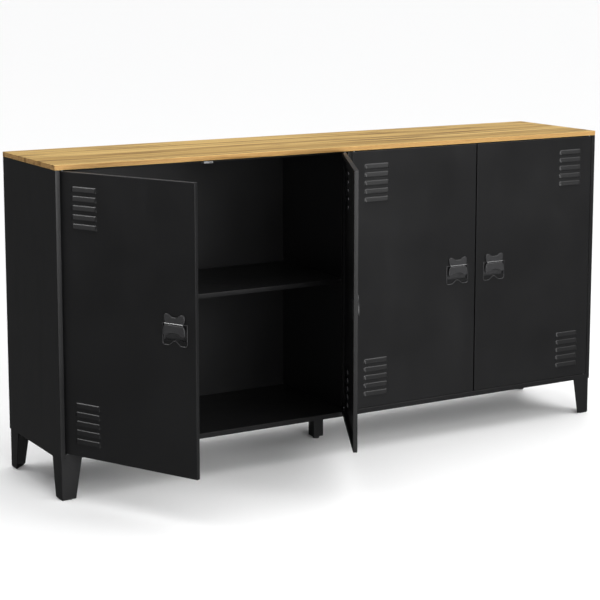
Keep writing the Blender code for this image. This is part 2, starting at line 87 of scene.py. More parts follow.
scene = bpy.context.scene
scene.view_settings.view_transform = "Standard"
scene.view_settings.look = "None"
scene.world = bpy.data.worlds.new("sky")
scene.world.use_nodes = True
sky = scene.world.node_tree
room = sky.nodes["Background"]
facing = sky.nodes.new("ShaderNodeVectorMath")
facing.operation = "DOT_PRODUCT"
facing.inputs[1].default_value = Vector(ROOM_LIGHT_FROM).normalized()
sky.links.new(sky.nodes.new("ShaderNodeTexCoord").outputs["Generated"], facing.inputs[0])
room_shade = sky.nodes.new("ShaderNodeValToRGB")
room_shade.color_ramp.interpolation = "EASE"
room_dark, room_light = room_shade.color_ramp.elements
room_dark.position = ROOM_DARK_SHARE
room_dark.color = (*ROOM_DARK_SIDE, 1)
room_light.color = (*ROOM_LIGHT_SIDE, 1)
halved = sky.nodes.new("ShaderNodeMath")
halved.operation = "MULTIPLY_ADD"
halved.inputs[1].default_value = 0.5
halved.inputs[2].default_value = 0.5
sky.links.new(facing.outputs["Value"], halved.inputs[0])
sky.links.new(halved.outputs[0], room_shade.inputs[0])
sky.links.new(room_shade.outputs["Color"], room.inputs["Color"])
backdrop = sky.nodes.new("ShaderNodeBackground")
backdrop.inputs["Color"].default_value = (*BACKDROP_COLOUR, 1)
seen = sky.nodes.new("ShaderNodeMixShader")
sky.links.new(sky.nodes.new("ShaderNodeLightPath").outputs["Is Camera Ray"], seen.inputs[0])
sky.links.new(room.outputs[0], seen.inputs[1])
sky.links.new(backdrop.outputs[0], seen.inputs[2])
sky.links.new(seen.outputs[0], sky.nodes["World Output"].inputs["Surface"])

overhead = bpy.data.objects.new("lamp_overhead", bpy.data.lights.new("lamp_overhead", "SUN"))
scene.collection.objects.link(overhead)
overhead.data.energy = OVERHEAD_STRENGTH
overhead.data.angle = radians(OVERHEAD_SPREAD)
overhead.rotation_euler = (radians(OVERHEAD_TILT[0]), radians(OVERHEAD_TILT[1]), 0)

camera = bpy.data.objects.new("camera", bpy.data.cameras.new("camera"))
scene.collection.objects.link(camera)
camera.location = CAMERA_PLACE
camera.rotation_euler = (radians(90 - CAMERA_DIP), 0, -radians(CAMERA_TURN))
camera.data.lens = CAMERA_LENS
camera.data.shift_y = CAMERA_SHIFT
camera.data.clip_end = CAMERA_SEES_TO
scene.camera = camera

for name, (place, aim, size, power) in {**LAMPS, **SHEEN_CARDS}.items():
    lamp = bpy.data.objects.new("lamp_" + name, bpy.data.lights.new("lamp_" + name, "AREA"))
    scene.collection.objects.link(lamp)
    lamp.location = place
    lamp.rotation_euler = (Vector(aim) - Vector(place)).to_track_quat("-Z", "Y").to_euler()
    lamp.data.shape = "RECTANGLE"
    lamp.data.size, lamp.data.size_y = size
    lamp.data.energy = power
    lamp.visible_diffuse = name in LAMPS

floor_mesh = bpy.data.meshes.new("studio_floor")
floor_build = bmesh.new()
bmesh.ops.create_grid(floor_build, x_segments=1, y_segments=1, size=FLOOR_HALF)
floor_build.to_mesh(floor_mesh)
floor_build.free()
studio_floor = bpy.data.objects.new("studio_floor", floor_mesh)
scene.collection.objects.link(studio_floor)
floor_paint = bpy.data.materials.new("studio_floor_paint")
floor_paint.use_nodes = True
floor_tree = floor_paint.node_tree
floor_shader = floor_tree.nodes["Principled BSDF"]
floor_tint = floor_tree.nodes.new("ShaderNodeMix")
floor_tint.data_type = "RGBA"
floor_tint.inputs[6].default_value = (*FLOOR_COLOUR, 1)
floor_tint.inputs[7].default_value = (*FLOOR_IN_REFLECTIONS, 1)
floor_path = floor_tree.nodes.new("ShaderNodeLightPath")
floor_tree.links.new(floor_path.outputs["Is Glossy Ray"], floor_tint.inputs[0])
floor_tree.links.new(floor_tint.outputs[2], floor_shader.inputs["Base Color"])
floor_shader.inputs["Roughness"].default_value = FLOOR_ROUGHNESS
floor_mesh.materials.append(floor_paint)


# Floor tray: one sheet that closes the case below, with a rail folded down along its front and its
# back. Black powder coat on 1.2 mm steel: satin, with a fine orange peel, thin and pale on the folds,
# where the pale colour is also a painted highlight.
SHEET = 0.0012
BEND = 0.0016
TIGHT_BEND = 0.0009
FITTING_GAP = 0.0003
MID_HEIGHT = 0.45
COAT_COLOUR = (0.0062, 0.0062, 0.0065)
# Paler colour along the folds: a thinner coat there, and a painted highlight.
COAT_THIN_EDGE_AND_HIGHLIGHT = (0.0085, 0.0085, 0.0089)
COAT_ROUGHNESS = 0.36
COAT_REFLECTANCE = 0.27
COAT_MARKS = 0.5
COAT_CLOUDS = 1.25
COAT_PEEL = 0.18
PEEL_DEEP = 0.00012
EDGE_WEAR_AND_HIGHLIGHT_WIDTH = 0.0012
EDGE_MASK_BEGINS, EDGE_MASK_FULL = 0.995, 0.86
EDGE_MASK_PATCHES = 38
PEEL_SCALE, GRIT_SCALE, CLOUD_SCALE, WIPE_SCALE = 620, 1900, 5.5, 26
GRIT_SHARE = 0.35
WIPES_DULL = 0.07
SHEEN_DRIFT, GRIT_DRIFT = 0.035, 0.02
STEEL_SMOOTH_ANGLE = 50


def finish_group(name, inputs, outputs):
    """An empty node group. Its input and output nodes are returned with it."""
    group = bpy.data.node_groups.new(name, "ShaderNodeTree")
    for title, kind, value in inputs:
        group.interface.new_socket(title, in_out="INPUT", socket_type=kind).default_value = value
    for title, kind in outputs:
        group.interface.new_socket(title, in_out="OUTPUT", socket_type=kind)
    return group, group.nodes.new("NodeGroupInput"), group.nodes.new("NodeGroupOutput")


def add_node(tree, kind, settings=None, **values):
    """A node with its settings and with values on its inputs; an output socket as a value is linked."""
    made = tree.nodes.new(kind)
    for key, value in (settings or {}).items():
        setattr(made, key, value)
    for key, value in values.items():
        by_number = key[0] == "i" and key[1:].isdigit()
        socket = made.inputs[int(key[1:]) if by_number else key.replace("_", " ")]
        if isinstance(value, bpy.types.NodeSocket):
            tree.links.new(value, socket)
        else:
            socket.default_value = value
    return made


def sum_up(tree, operation, first, second, clamp=False):
    settings = {"operation": operation, "use_clamp": clamp}
    return add_node(tree, "ShaderNodeMath", settings, i0=first, i1=second).outputs[0]


def between(tree, value, low, high, out_low=0.0, out_high=1.0):
    """The value spread from low..high to out_low..out_high, and clamped there."""
    return add_node(
        tree, "ShaderNodeMapRange", Value=value, From_Min=low, From_Max=high, To_Min=out_low, To_Max=out_high
    ).outputs[0]


def blend_colours(tree, share, first, second):
    settings = {"data_type": "RGBA"}
    return add_node(tree, "ShaderNodeMix", settings, i0=share, i6=first, i7=second).outputs[2]


def speckle(tree, place, scale, detail=2.0, roughness=0.5, stretch=(1, 1, 1), shift=(0, 0, 0)):
    """Noise on the piece's own coordinates, drawn out along an axis by a small stretch value."""
    mapped = add_node(tree, "ShaderNodeMapping", Vector=place, Scale=stretch, Location=shift).outputs[0]
    return add_node(
        tree, "ShaderNodeTexNoise", Vector=mapped, Scale=scale, Detail=detail, Roughness=roughness
    ).outputs[0]


def edge_mask_group():
    """1 along the outer folds and rims of a piece, broken up in patches, and 0 elsewhere. On the wood and
    plastic it marks wear; on the powder coat it marks a thinner coat and a painted highlight.
    """
    group, given, result = finish_group(
        "wear_and_highlight_edges",
        [("Width", "NodeSocketFloat", 0.001), ("Patchiness", "NodeSocketFloat", 0.5)],
        [("Mask", "NodeSocketFloat")],
    )
    place = add_node(group, "ShaderNodeTexCoord").outputs["Object"]
    rounded = add_node(group, "ShaderNodeBevel", {"samples": 4}, Radius=given.outputs["Width"]).outputs[0]
    flat = add_node(group, "ShaderNodeNewGeometry").outputs["Normal"]
    agree = add_node(group, "ShaderNodeVectorMath", {"operation": "DOT_PRODUCT"}, i0=rounded, i1=flat)
    turned = between(group, agree.outputs["Value"], EDGE_MASK_BEGINS, EDGE_MASK_FULL)
    patches = between(group, speckle(group, place, EDGE_MASK_PATCHES, 3), 0.35, 0.65)
    kept = sum_up(group, "SUBTRACT", 1.0, sum_up(group, "MULTIPLY", patches, given.outputs["Patchiness"]))
    group.links.new(sum_up(group, "MULTIPLY", turned, kept, clamp=True), result.inputs["Mask"])
    return group


def powder_group():
    """Powder coat: a fine orange peel for height, cloudy sheen and faint handling marks for roughness."""
    group, given, result = finish_group(
        "powder_texture",
        [("Sheen", "NodeSocketFloat", 0.4), ("Marks", "NodeSocketFloat", 0.5)],
        [("Roughness", "NodeSocketFloat"), ("Height", "NodeSocketFloat"), ("Cloud", "NodeSocketFloat")],
    )
    place = add_node(group, "ShaderNodeTexCoord").outputs["Object"]
    peel = speckle(group, place, PEEL_SCALE, 2, 0.55)
    grit = speckle(group, place, GRIT_SCALE, 1, 0.5)
    cloud = speckle(group, place, CLOUD_SCALE, 3, 0.55)
    wipes = speckle(group, place, WIPE_SCALE, 4, 0.6, stretch=(1, 1, 0.18))
    height = sum_up(group, "ADD", peel, sum_up(group, "MULTIPLY", grit, GRIT_SHARE))
    marks = sum_up(group, "MULTIPLY", between(group, wipes, 0.52, 0.72), given.outputs["Marks"])
    drift = between(group, cloud, 0.3, 0.7, -SHEEN_DRIFT, SHEEN_DRIFT)
    rough = sum_up(group, "ADD", given.outputs["Sheen"], drift)
    rough = sum_up(group, "ADD", rough, sum_up(group, "MULTIPLY", marks, WIPES_DULL))
    rough = sum_up(group, "ADD", rough, between(group, grit, 0.3, 0.7, -GRIT_DRIFT, GRIT_DRIFT))
    group.links.new(rough, result.inputs["Roughness"])
    group.links.new(height, result.inputs["Height"])
    group.links.new(cloud, result.inputs["Cloud"])
    return group


wear_and_highlight_edges = edge_mask_group()
powder_texture = powder_group()


def new_finish(name):
    finish = bpy.data.materials.new(name)
    finish.use_nodes = True
    return finish, finish.node_tree, finish.node_tree.nodes["Principled BSDF"]


def feed(tree, shader, **sources):
    """Links each output to the shader input of that name."""
    for key, source in sources.items():
        tree.links.new(source, shader.inputs[key.replace("_", " ")])


# A mask along the folds and rims: wear on the wood and plastic, and on the coat a thinner coat and a painted
# highlight.
def edge_wear_and_highlight(tree, width, patchiness):
    edges = {"node_tree": wear_and_highlight_edges}
    return add_node(tree, "ShaderNodeGroup", edges, Width=width, Patchiness=patchiness).outputs["Mask"]


def bumped(tree, strength, distance, height):
    return add_node(
        tree, "ShaderNodeBump", Strength=strength, Distance=distance, Height=height
    ).outputs["Normal"]


def powder_coat():
    """Black powder coat over steel, a little greyer on the folds, where it is thin and where a highlight is
    painted.
    """
    finish, tree, shader = new_finish("case_powder_coat")
    texture = add_node(
        tree, "ShaderNodeGroup", {"node_tree": powder_texture}, Sheen=COAT_ROUGHNESS, Marks=COAT_MARKS
    )
    lighter = (*(COAT_CLOUDS * value for value in COAT_COLOUR), 1)
    clouds = between(tree, texture.outputs["Cloud"], 0.3, 0.7)
    body = blend_colours(tree, clouds, (*COAT_COLOUR, 1), lighter)
    # The paler colour along the folds stands for a thinner coat and is also a painted highlight.
    feed(
        tree, shader,
        Base_Color=blend_colours(tree, edge_wear_and_highlight(tree, EDGE_WEAR_AND_HIGHLIGHT_WIDTH, 0.55), body, (*COAT_THIN_EDGE_AND_HIGHLIGHT, 1)),
        Roughness=texture.outputs["Roughness"],
        Normal=bumped(tree, COAT_PEEL, PEEL_DEEP, texture.outputs["Height"]),
    )
    shader.inputs["Specular IOR Level"].default_value = COAT_REFLECTANCE
    return finish


def start_profile(points, axis, start):
    """An open line of points in the plane across an axis, and the function that places more."""
    def place(point, along):
        values = list(point)
        values.insert("XYZ".index(axis), along)
        return Vector(values)

    bm = bmesh.new()
    verts = [bm.verts.new(place(point, start)) for point in points]
    return bm, verts, place


def verts_of(geometry):
    return [item for item in geometry if isinstance(item, bmesh.types.BMVert)]


def push(bm, geometry, way):
    """The geometry extruded along a vector. Returns the new vertices."""
    moved = verts_of(bmesh.ops.extrude_face_region(bm, geom=geometry)["geom"])
    bmesh.ops.translate(bm, verts=moved, vec=way)
    return moved


def pull_edges(bm, edges, way=(0, 0, 0)):
    """New faces drawn out of the edges along a vector. Returns all that is new."""
    pulled = bmesh.ops.extrude_edge_only(bm, edges=edges)["geom"]
    bmesh.ops.translate(bm, verts=verts_of(pulled), vec=way)
    return pulled


def fold_edges(bm, edges, radius, segments=3):
    bmesh.ops.bevel(
        bm, geom=edges, offset=radius, offset_type="OFFSET", segments=segments, profile=0.5,
        affect="EDGES", material=-1, clamp_overlap=True,
    )


def creases(bm, over=20):
    """The edges where two faces meet at an angle, in degrees."""
    return [edge for edge in bm.edges if len(edge.link_faces) == 2 and edge.calc_face_angle() > radians(over)]


def face_away(bm, inside):
    """Turns an open skin so that its faces look away from a point inside it."""
    widest = max(bm.faces, key=lambda face: face.calc_area())
    if (Vector(inside) - widest.calc_center_median()).dot(widest.normal) > 0:
        bmesh.ops.reverse_faces(bm, faces=bm.faces)


def folded_strip(points, axis, start, end, inside, radius=BEND):
    """The outer skin of a folded sheet: a line of points pushed along an axis, with rounded folds."""
    bm, verts, place = start_profile(points, axis, start)
    edges = [bm.edges.new(pair) for pair in zip(verts, verts[1:])]
    pull_edges(bm, edges, place((0, 0), end - start))
    bm.normal_update()
    face_away(bm, inside)
    fold_edges(bm, creases(bm), radius)
    return bm


def fit_piece(name, bm, finish, body, nodes, smooth=STEEL_SMOOTH_ANGLE):
    """The bmesh as a finished piece that rides on a body and stands for its CAD nodes."""
    mesh = bpy.data.meshes.new(name)
    bm.to_mesh(mesh)
    bm.free()
    mesh.shade_smooth()
    mesh.set_sharp_from_angle(angle=radians(smooth))
    mesh.materials.append(finish)
    made = bpy.data.objects.new(name, mesh)
    scene.collection.objects.link(made)
    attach(made, body)
    if nodes:
        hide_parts(*nodes)
    return made


def even_shading(made):
    made.modifiers.new("even_shading", "WEIGHTED_NORMAL").keep_sharp = True


def give_thickness(made, thick):
    """Sheet thickness, inwards from the outer skin, with the flat faces kept flat in shading."""
    wall = made.modifiers.new("thickness", "SOLIDIFY")
    wall.thickness = thick
    wall.offset = -1
    wall.use_even_offset = True
    wall.use_quality_normals = True
    even = made.modifiers.new("even_shading", "WEIGHTED_NORMAL")
    even.weight = 60
    even.keep_sharp = True
    return made


case_coat = powder_coat()


def steel_piece(name, skin, thick, *nodes, body="body"):
    """A piece of coated sheet steel, thickened inwards from its outer skin."""
    return give_thickness(fit_piece(name, skin, case_coat, body, nodes), thick)


tray_low, tray_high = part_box("bottom_panel")
side_low, side_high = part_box("side_panel_left")
return_edge = side_high[0]
tray_inside = -return_edge - FITTING_GAP
ear_front, ear_back = tray_low[1] + SHEET + FITTING_GAP, tray_high[1] - SHEET - FITTING_GAP
half_tray = tray_high[0]
outline = [
    (-tray_inside, tray_low[1]), (tray_inside, tray_low[1]), (tray_inside, ear_front), (half_tray, ear_front),
    (half_tray, ear_back), (tray_inside, ear_back), (tray_inside, tray_high[1]), (-tray_inside, tray_high[1]),
    (-tray_inside, ear_back), (-half_tray, ear_back), (-half_tray, ear_front), (-tray_inside, ear_front),
]
tray = bmesh.new()
tray_points = [tray.verts.new((x, y, tray_high[2])) for x, y in outline]
tray.faces.new(tray_points)
for first, second in ((0, 1), (6, 7)):
    rail_edge = tray.edges.get((tray_points[first], tray_points[second]))
    pull_edges(tray, [rail_edge], (0, 0, tray_low[2] - tray_high[2]))
bmesh.ops.recalc_face_normals(tray, faces=tray.faces)
tray.normal_update()
face_away(tray, (0, 0, 0))
fold_edges(tray, creases(tray), TIGHT_BEND)
steel_piece("floor_tray", tray, SHEET, "bottom_panel")


# End panels: each is one sheet with a return folded along its front and its back edge. They stand
# on the leg plates, hook over the tray's ears and carry the shelf clips.
WIDE_BEND = 0.0020
for side, name in ((-1, "left"), (1, "right")):
    outer, lip = side * -side_low[0], side * -return_edge
    skin = folded_strip(
        [(lip, side_high[1]), (outer, side_high[1]), (outer, side_low[1]), (lip, side_low[1])],
        "Z", side_low[2], side_high[2], (0, 0, MID_HEIGHT), radius=WIDE_BEND,
    )
    steel_piece(f"end_panel_{name}", skin, SHEET, f"side_panel_{name}")


# Top panel: the steel lid of the case, under the wood. Its back edge is folded down behind the back
# panels, and a stiffening strip is spot-welded under it a little behind the doors.
THIN_SHEET = 0.0010
HEM_SETBACK = 0.030
HEM_DEEP = 0.012
HEM_CLEAR = 0.0001
HALF_NOTCH = 0.0063
lid_low, lid_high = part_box("top_panel")
lid = folded_strip(
    [(lid_low[1], lid_high[2]), (lid_high[1], lid_high[2]), (lid_high[1], lid_low[2])],
    "X", lid_low[0], lid_high[0], (0, 0, 0), radius=TIGHT_BEND,
)
steel_piece("top_lid", lid, SHEET, "top_panel")
hem_front = side_low[1] + HEM_SETBACK
hem_top = lid_high[2] - SHEET - HEM_CLEAR
for side, name in ((-1, "left"), (1, "right")):
    strip = folded_strip(
        [(hem_front, lid_low[2]), (hem_front, hem_top), (hem_front + HEM_DEEP, hem_top)],
        "X", *sorted((side * HALF_NOTCH, side * lid_high[0])), (0, 1, 0),
    )
    steel_piece(f"lid_stiffener_{name}", strip, THIN_SHEET)


# Centre partition: a hollow wall folded from one sheet, closed behind by a lock seam. It stands on
# the floor tray between the two bays.
SEAM_GAP = 0.0005
part_low, part_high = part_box("centre_partition")
wall_outline = [
    (part_low[0], part_high[1]), (part_low[0], part_low[1]), (part_high[0], part_low[1]),
    (part_high[0], part_high[1]), (part_low[0] + SEAM_GAP, part_high[1]),
]
wall = folded_strip(
    wall_outline, "Z", part_low[2], part_high[2], (0, 0, MID_HEIGHT), radius=WIDE_BEND
)
steel_piece("partition_wall", wall, THIN_SHEET, "centre_partition")


# Back panels: two thin flat sheets, one to each bay. They slide in between the end panels' returns
# and the partition, and butt together behind it.
BACK_TUCK = 0.0006


def flat_sheet(low, high, edge=0.0002):
    bm = bmesh.new()
    size = Matrix.Diagonal((*(Vector(high) - Vector(low)), 1))
    middle = Matrix.Translation((Vector(low) + Vector(high)) / 2)
    bmesh.ops.create_cube(bm, size=1, matrix=middle @ size)
    fold_edges(bm, bm.edges[:], edge, segments=1)
    return bm


for name in ("left", "right"):
    low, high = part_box(f"back_panel_{name}")
    low = Vector((low[0], low[1], low[2] - BACK_TUCK))
    high = Vector((high[0], high[1], high[2] + BACK_TUCK))
    back_piece = fit_piece(
        f"back_sheet_{name}", flat_sheet(low, high), case_coat, "body", [f"back_panel_{name}"]
    )
    even_shading(back_piece)


# Wood top: a 12 mm board faced with oak, its grain along the sideboard, under a thin satin lacquer.
# The edges are banded with the same oak, a shade redder, and eased by hand.
OAK_LIGHT = (0.630, 0.425, 0.152)
OAK_MIDDLE = (0.415, 0.256, 0.078)
OAK_DARK = (0.165, 0.086, 0.022)
OAK_BAND = (0.350, 0.205, 0.072)
OAK_KNOT = (0.120, 0.060, 0.022)
OAK_ROUGHNESS = 0.52
OAK_REFLECTANCE = 0.12
OAK_BUMP = 0.25
GRAIN_DEEP = 0.00015
PORES_DULL = 0.14
GRAIN_SWAY = 0.018
STREAKS_SHOW, HAIR_SHOWS, PALE_SHOWS, PORES_SHOW, KNOTS_SHOW = 0.90, 0.55, 0.45, 0.35, 0.55
BROAD_SCALE, STREAK_SCALE, FINE_SCALE, PORE_SCALE, KNOT_SCALE = 15, 50, 210, 900, 11
board_low, board_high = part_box("top_board")


def oak_group():
    """Oak sawn along X: long growth streaks, fine pores, soft cathedral waves and a few small knots."""
    group, given, result = finish_group(
        "oak_grain",
        [("Light", "NodeSocketColor", (1, 1, 1, 1)), ("Middle", "NodeSocketColor", (1, 1, 1, 1)),
         ("Dark", "NodeSocketColor", (1, 1, 1, 1)), ("Knot", "NodeSocketColor", (0, 0, 0, 1))],
        [("Colour", "NodeSocketColor"), ("Height", "NodeSocketFloat"), ("Pores", "NodeSocketFloat")],
    )
    place = add_node(group, "ShaderNodeTexCoord").outputs["Object"]
    sway = speckle(group, place, 1.6, 2, 0.5, stretch=(1.0, 0.6, 1.0))
    sideways = between(group, sway, 0.2, 0.8, -GRAIN_SWAY, GRAIN_SWAY)
    offset = add_node(group, "ShaderNodeCombineXYZ", Y=sideways).outputs[0]
    swayed = add_node(group, "ShaderNodeVectorMath", {"operation": "ADD"}, i0=place, i1=offset).outputs[0]
    broad = speckle(group, swayed, BROAD_SCALE, 2, 0.5, stretch=(0.030, 1, 1), shift=(3.1, 0, 0))
    streak = speckle(group, swayed, STREAK_SCALE, 3, 0.62, stretch=(0.030, 1, 1), shift=(0.7, 2, 0))
    fine = speckle(group, swayed, FINE_SCALE, 4, 0.65, stretch=(0.018, 1, 1))
    pores = speckle(group, swayed, PORE_SCALE, 2, 0.5, stretch=(0.045, 1, 1))
    tone = between(group, broad, 0.40, 0.62)
    tint = blend_colours(group, tone, given.outputs["Light"], given.outputs["Middle"])
    open_pores = between(group, pores, 0.60, 0.70)
    long_place = add_node(group, "ShaderNodeMapping", Vector=swayed, Scale=(0.22, 1, 1)).outputs[0]
    spots = add_node(group, "ShaderNodeTexVoronoi", Vector=long_place, Scale=KNOT_SCALE)
    layers = (
        (between(group, streak, 0.51, 0.61), STREAKS_SHOW, "Dark"),
        (between(group, fine, 0.52, 0.78), HAIR_SHOWS, "Dark"),
        (between(group, fine, 0.48, 0.28), PALE_SHOWS, "Light"),
        (open_pores, PORES_SHOW, "Dark"),
        (between(group, spots.outputs["Distance"], 0.11, 0.03), KNOTS_SHOW, "Knot"),
    )
    for mask, share, colour in layers:
        tint = blend_colours(group, sum_up(group, "MULTIPLY", mask, share), tint, given.outputs[colour])
    raised, sunk = sum_up(group, "MULTIPLY", fine, 0.5), sum_up(group, "MULTIPLY", open_pores, 0.6)
    height = sum_up(group, "SUBTRACT", raised, sunk)
    group.links.new(tint, result.inputs["Colour"])
    group.links.new(height, result.inputs["Height"])
    group.links.new(open_pores, result.inputs["Pores"])
    return group


oak_grain = oak_group()


def oak_finish(name, light, middle, dark):
    finish, tree, shader = new_finish(name)
    oak = add_node(
        tree, "ShaderNodeGroup", {"node_tree": oak_grain},
        Light=(*light, 1), Middle=(*middle, 1), Dark=(*dark, 1), Knot=(*OAK_KNOT, 1),
    )
    eased = sum_up(tree, "MULTIPLY", edge_wear_and_highlight(tree, EDGE_WEAR_AND_HIGHLIGHT_WIDTH, 0.35), 0.55)
    duller = sum_up(tree, "MULTIPLY", oak.outputs["Pores"], PORES_DULL)
    feed(
        tree, shader, Base_Color=blend_colours(tree, eased, oak.outputs["Colour"], (*OAK_LIGHT, 1)),
        Roughness=sum_up(tree, "ADD", OAK_ROUGHNESS, duller),
        Normal=bumped(tree, OAK_BUMP, GRAIN_DEEP, oak.outputs["Height"]),
    )
    shader.inputs["Specular IOR Level"].default_value = OAK_REFLECTANCE
    return finish


board_oak = oak_finish("oak_face", OAK_LIGHT, OAK_MIDDLE, OAK_DARK)
band_oak = oak_finish("oak_edge_band", OAK_BAND, OAK_BAND, OAK_DARK)
board = flat_sheet(board_low, board_high, edge=0.0008)
board_piece = fit_piece("oak_board", board, board_oak, "body", ["top_board"])
board_piece.data.materials.append(band_oak)
for face in board_piece.data.polygons:
    if abs(face.normal.z) < 0.5:
        face.material_index = 1
even_shading(board_piece)


# Corner legs: each is a tapered angle folded from 1.5 mm sheet, with a plate on top that screws up
# into the tray and a triangular foot. Stick-on rubber pads keep the steel off the floor.
LEG_SHEET = 0.0015
LEG_TOP_WIDE = 0.053
LEG_FOOT_WIDE = 0.0365
LEG_BEND_AT = 0.100
LEG_BEND = 0.0022
LEG_INSIDE = 0.02
PAD_EDGE = 0.0003
LEG_SIDES = {"front": 1, "rear": -1, "left": 1, "right": -1}


def corner_leg_skin(corner, into, low, bend_at, top):
    """The outer skin of a leg. into holds the directions that lead under the body from its corner."""
    def at(reach_x, reach_y, z):
        return skin.verts.new((corner[0] + into[0] * reach_x, corner[1] + into[1] * reach_y, z))

    skin = bmesh.new()
    spine = [at(0, 0, z) for z in (low, bend_at, top)]
    along_x = [at(LEG_FOOT_WIDE, 0, low), at(LEG_TOP_WIDE, 0, bend_at), at(LEG_TOP_WIDE, 0, top)]
    along_y = [at(0, LEG_FOOT_WIDE, low), at(0, LEG_TOP_WIDE, bend_at), at(0, LEG_TOP_WIDE, top)]
    for part in (0, 1):
        skin.faces.new((spine[part], along_x[part], along_x[part + 1], spine[part + 1]))
        skin.faces.new((along_y[part], spine[part], spine[part + 1], along_y[part + 1]))
    skin.faces.new((spine[0], along_y[0], along_x[0]))
    inner = at(LEG_TOP_WIDE, LEG_TOP_WIDE, top)
    skin.faces.new((spine[2], along_x[2], inner, along_y[2]))
    bmesh.ops.recalc_face_normals(skin, faces=skin.faces)
    skin.normal_update()
    inside = (corner[0] + into[0] * LEG_INSIDE, corner[1] + into[1] * LEG_INSIDE, (low + top) / 2)
    face_away(skin, inside)
    fold_edges(skin, creases(skin), LEG_BEND)
    return skin


rubber, rubber_tree, rubber_shader = new_finish("foot_rubber")
rubber_grain = speckle(rubber_tree, add_node(rubber_tree, "ShaderNodeTexCoord").outputs["Object"], 700, 3)
feed(
    rubber_tree, rubber_shader,
    Base_Color=blend_colours(rubber_tree, rubber_grain, (0.012, 0.012, 0.012, 1), (0.030, 0.030, 0.030, 1)),
    Roughness=between(rubber_tree, rubber_grain, 0.3, 0.7, 0.62, 0.80),
    Normal=bumped(rubber_tree, 0.4, 0.0002, rubber_grain),
)

for end in ("front", "rear"):
    for name in ("left", "right"):
        low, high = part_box(f"leg_{end}_{name}")
        into = (LEG_SIDES[name], LEG_SIDES[end])
        corner = (low[0] if into[0] > 0 else high[0], low[1] if into[1] > 0 else high[1])
        skin = corner_leg_skin(corner, into, low[2], LEG_BEND_AT, high[2])
        steel_piece(f"corner_leg_{end}_{name}", skin, LEG_SHEET, f"leg_{end}_{name}")

        pad_low, pad_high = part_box(f"foot_pad_{end}_{name}")
        reach = pad_high[0] - pad_low[0]
        near = (pad_low[0] if into[0] > 0 else pad_high[0], pad_low[1] if into[1] > 0 else pad_high[1])
        pad = bmesh.new()
        pad_face = pad.faces.new([
            pad.verts.new((near[0] + into[0] * u * reach, near[1] + into[1] * v * reach, pad_low[2]))
            for u, v in ((0, 0), (1, 0), (0, 1))
        ])
        push(pad, [pad_face], (0, 0, pad_high[2] - pad_low[2]))
        bmesh.ops.recalc_face_normals(pad, faces=pad.faces)
        fold_edges(pad, pad.edges[:], PAD_EDGE, segments=2)
        fit_piece(
            f"rubber_pad_{end}_{name}", pad, rubber, "body", [f"foot_pad_{end}_{name}"]
        )


# Leg screws: zinc-plated machine screws with low round heads and a hexagon socket, driven up through
# the leg plates into clinch nuts in the tray. Two hold each leg and two hold the centre post.
SOCKET_RADIUS = 0.0017
SOCKET_DEEP = 0.0014
HEAD_HIGH = 0.003
SHANK_RADIUS = 0.0024
SHANK_POINT = 0.0005


def zinc_finish(name, colour, roughness):
    """Bright zinc plate: cloudy grey patches with a slight grain, on metal."""
    finish, tree, shader = new_finish(name)
    place = add_node(tree, "ShaderNodeTexCoord").outputs["Object"]
    cloud = speckle(tree, place, 240, 3, 0.6)
    dull = tuple(0.72 * value for value in colour)
    plate_tint = blend_colours(tree, between(tree, cloud, 0.35, 0.65), (*colour, 1), (*dull, 1))
    plate_rough = between(tree, cloud, 0.3, 0.7, roughness - 0.06, roughness + 0.10)
    feed(
        tree, shader, Base_Color=plate_tint, Roughness=plate_rough, Normal=bumped(tree, 0.15, 0.0001, cloud)
    )
    shader.inputs["Metallic"].default_value = 1
    return finish


def turned_shape(profile, centre, sides=24):
    """A profile of (radius, height) points, from axis to axis, spun round an upright axis."""
    bm = bmesh.new()
    points = [bm.verts.new((centre[0] + radius, centre[1], height)) for radius, height in profile]
    edges = [bm.edges.new(pair) for pair in zip(points, points[1:])]
    bmesh.ops.spin(
        bm, geom=points + edges, cent=(*centre, 0), axis=(0, 0, 1), angle=2 * pi, steps=sides, use_merge=True
    )
    bmesh.ops.remove_doubles(bm, verts=bm.verts, dist=1e-6)
    bmesh.ops.recalc_face_normals(bm, faces=bm.faces)
    return bm


def hexagon_socket(bm, centre):
    """Turns the round hole in the middle of a screw head into a hexagon."""
    for vert in bm.verts:
        across, along = vert.co.x - centre[0], vert.co.y - centre[1]
        if abs(hypot(across, along) - SOCKET_RADIUS) < 1e-5:
            flat_at = (atan2(along, across) + 2 * pi) % (pi / 3) - pi / 6
            pulled = cos(pi / 6) / cos(flat_at)
            vert.co.x = centre[0] + across * pulled
            vert.co.y = centre[1] + along * pulled


zinc = zinc_finish("zinc_plate", (0.62, 0.63, 0.65), 0.30)


def screw_piece(name):
    low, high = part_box(name)
    centre = ((low[0] + high[0]) / 2, (low[1] + high[1]) / 2)
    head, bottom = (high[0] - low[0]) / 2, low[2]
    under = bottom + HEAD_HIGH
    profile = [
        (0, bottom + SOCKET_DEEP), (SOCKET_RADIUS, bottom + SOCKET_DEEP), (SOCKET_RADIUS, bottom + 0.0001),
        (0.0021, bottom), (head * 0.66, bottom + 0.0002), (head * 0.90, bottom + 0.0010),
        (head, bottom + 0.0020), (head, under), (SHANK_RADIUS, under), (SHANK_RADIUS, high[2] - SHANK_POINT),
        (SHANK_RADIUS - SHANK_POINT, high[2]), (0, high[2]),
    ]
    bolt = turned_shape(profile, centre)
    hexagon_socket(bolt, centre)
    fit_piece(f"{name}_bolt", bolt, zinc, "body", [name], smooth=40)


for name in sorted(frame["nodes"]):
    if name.startswith(("leg_screw", "centre_leg_screw")):
        screw_piece(name)


